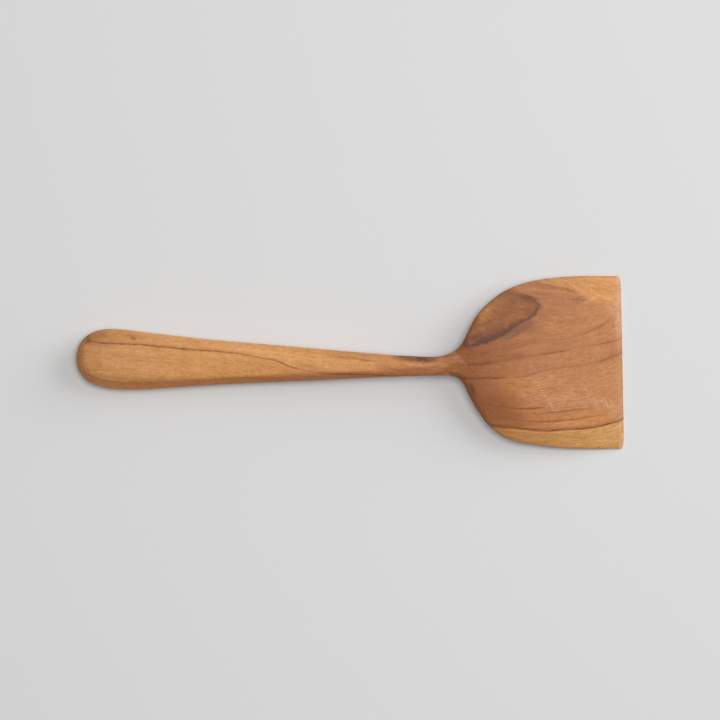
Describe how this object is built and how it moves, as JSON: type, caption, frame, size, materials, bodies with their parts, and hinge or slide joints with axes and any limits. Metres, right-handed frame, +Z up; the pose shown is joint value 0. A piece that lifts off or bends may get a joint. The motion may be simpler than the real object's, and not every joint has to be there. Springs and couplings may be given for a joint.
{
  "type": "wooden spatula",
  "caption": "Carved solid teak turner with a bulb-ended, tapering handle, a slim neck and a wide blade that thins to a bevelled front edge.",
  "frame": {"origin": "on the table under the middle of the object as it lies face up", "axes": "+X from the handle's tip towards the blade's front edge, +Z up out of the upper face, +Y across the blade"},
  "size_m": [0.3, 0.0952, 0.019],
  "materials": {
    "oiled_teak": "sanded and oiled, soft satin sheen"
  },
  "bodies": {
    "root": {"spatula": "oiled_teak"}
  },
  "joints": []
}
